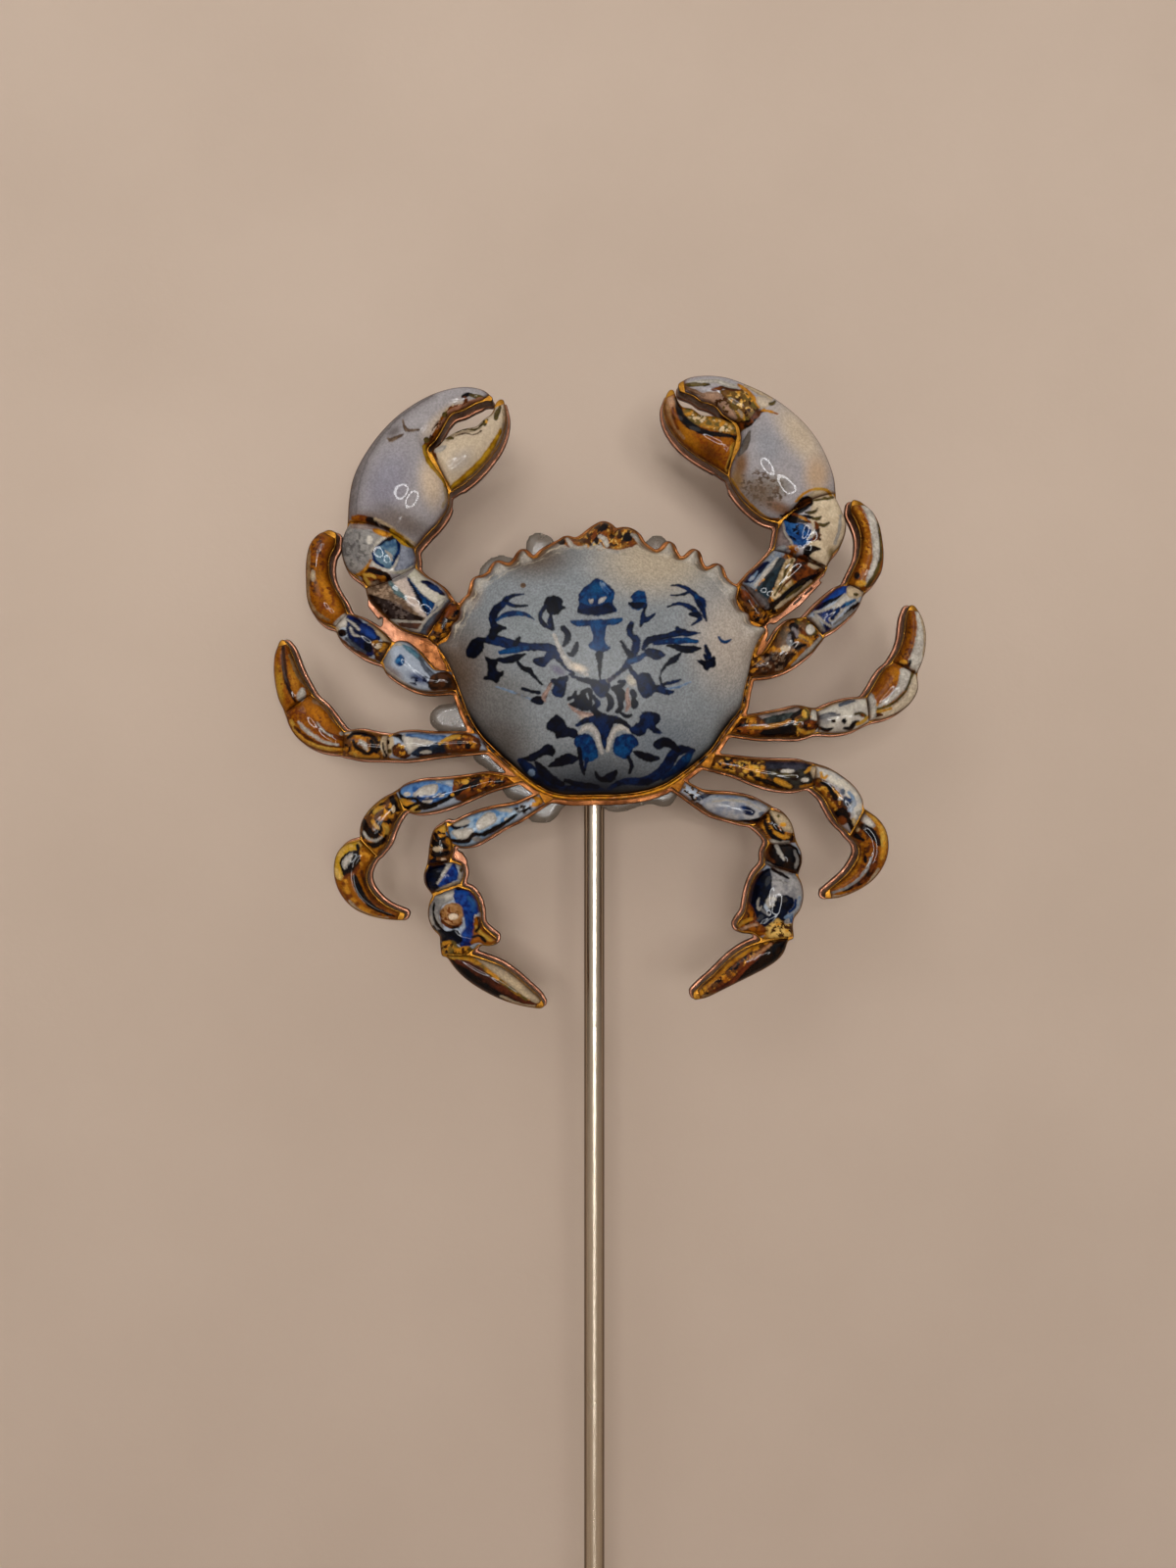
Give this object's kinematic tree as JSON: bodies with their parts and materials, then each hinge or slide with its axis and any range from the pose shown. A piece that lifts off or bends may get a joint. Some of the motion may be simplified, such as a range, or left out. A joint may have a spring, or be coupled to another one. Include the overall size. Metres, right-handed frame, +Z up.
{
  "type": "crab garden stake ornament",
  "caption": "Flat-backed cast crab with domed glossy printed cells on its shell, claws and legs, glued to a slim round polished steel stake",
  "frame": {"origin": "centre of the stake's lower end", "axes": "+Z up the stake, the crab faces -Y, +X to the right as seen from the front"},
  "size_m": [0.094, 0.0172, 0.2319],
  "materials": {
    "rose_gold": "polished",
    "polished_steel": "polished",
    "clear_glue": "glossy",
    "printed_pearl": "glossy",
    "printed_cream": "glossy",
    "printed_blue": "glossy",
    "printed_ochre": "glossy",
    "printed_umber": "glossy"
  },
  "bodies": {
    "root": {"steel_rod": "polished_steel", "base_plate": "rose_gold", "clear_glue": "clear_glue", "carapace_shell": "printed_pearl", "left_claw_shoulder": "printed_umber", "left_claw_arm": "printed_pearl", "left_claw_wrist": "printed_pearl", "left_claw_palm": "printed_pearl", "left_claw_finger": "printed_cream", "right_claw_shoulder": "printed_umber", "right_claw_arm": "printed_umber", "right_claw_wrist": "printed_pearl", "right_claw_palm": "printed_pearl", "right_claw_finger": "printed_ochre", "left_leg_1_thigh": "printed_blue", "left_leg_1_shin": "printed_blue", "left_leg_1_tip": "printed_ochre", "left_leg_2_thigh": "printed_blue", "left_leg_2_shin": "printed_umber", "left_leg_2_foot": "printed_ochre", "left_leg_2_tip": "printed_ochre", "left_leg_3_thigh": "printed_blue", "left_leg_3_knee": "printed_umber", "left_leg_3_tip": "printed_ochre", "left_leg_4_thigh": "printed_blue", "left_leg_4_knee": "printed_umber", "left_leg_4_shin": "printed_blue", "left_leg_4_paddle": "printed_blue", "left_leg_4_tip": "printed_umber", "right_leg_1_thigh": "printed_umber", "right_leg_1_shin": "printed_blue", "right_leg_1_tip": "printed_ochre", "right_leg_2_thigh": "printed_umber", "right_leg_2_shin": "printed_pearl", "right_leg_2_foot": "printed_ochre", "right_leg_2_tip": "printed_ochre", "right_leg_3_thigh": "printed_umber", "right_leg_3_knee": "printed_pearl", "right_leg_3_tip": "printed_ochre", "right_leg_4_thigh": "printed_blue", "right_leg_4_knee": "printed_umber", "right_leg_4_shin": "printed_blue", "right_leg_4_paddle": "printed_blue", "right_leg_4_tip": "printed_umber"}
  },
  "joints": []
}
